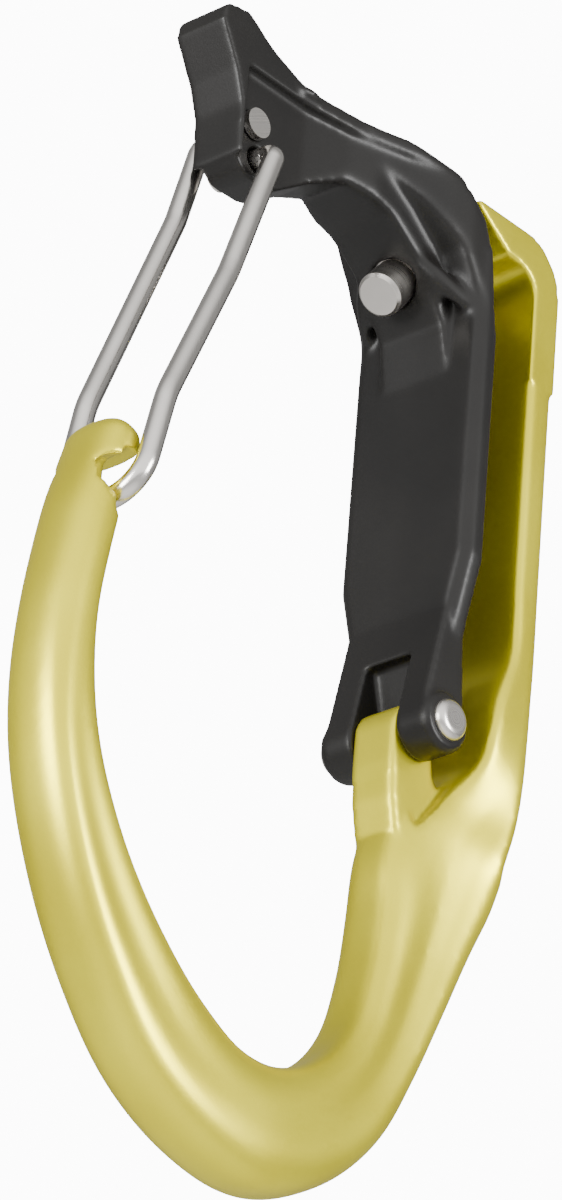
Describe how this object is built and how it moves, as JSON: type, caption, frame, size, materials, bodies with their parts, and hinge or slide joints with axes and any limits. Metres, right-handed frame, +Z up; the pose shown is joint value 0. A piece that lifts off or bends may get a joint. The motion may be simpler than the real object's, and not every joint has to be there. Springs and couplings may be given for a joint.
{
  "type": "locking wire-gate snap hook",
  "caption": "Forged wire-gate snap hook with a slot for flat webbing, closed by a hinged arm that carries the gate and is held by a sprung push stud.",
  "frame": {"origin": "middle of the spine's inner face, where the webbing bears", "axes": "+Z up the spine towards the gate's hinge end, +X out through the spine's back, +Y across the hook's width"},
  "size_m": [0.0651, 0.0176, 0.1256],
  "materials": {
    "anodised_lime": "satin anodised, yellow green",
    "anodised_black": "satin anodised, black",
    "stainless": "smooth drawn wire and turned pins"
  },
  "bodies": {
    "hook": {"hook_body": "anodised_lime"},
    "arm": {"clip_arm": "anodised_black", "hinge_pin": "stainless", "lock_bush": "stainless", "lock_spring": "stainless"},
    "gate_ends": {"gate_wire_ends": "stainless"},
    "gate": {"wire_gate": "stainless"},
    "lock": {"lock_pin": "stainless", "catch_pin": "stainless"}
  },
  "joints": [
    {"name": "arm_swing", "type": "hinge", "parent": "hook", "child": "arm", "pos_m": [-0.0086, 0, -0.0265], "axis": [0, -1, 0], "range_deg": [0, 22]},
    {"name": "gate_follow", "type": "hinge", "parent": "arm", "child": "gate_ends", "pos_m": [-0.03859, 0, 0.02851], "axis": [0, -1, 0], "range_deg": [0, 9.24]},
    {"name": "gate_swing", "type": "hinge", "parent": "gate_ends", "child": "gate", "pos_m": [-0.03859, 0, 0.02851], "axis": [0, -1, 0], "range_deg": [0, 24], "stiffness_Nm_per_rad": 0.05, "springref_deg": -17.19},
    {"name": "lock_press", "type": "slide", "parent": "arm", "child": "lock", "axis": [0.6307, 0, 0.776], "range_m": [0, 0.0026], "stiffness_N_per_m": 1500, "springref_m": -0.001, "deforming": ["lock_spring"]}
  ],
  "couplings": [
    {"joint": "gate_follow", "follows": "arm_swing", "ratio": 0.42}
  ]
}
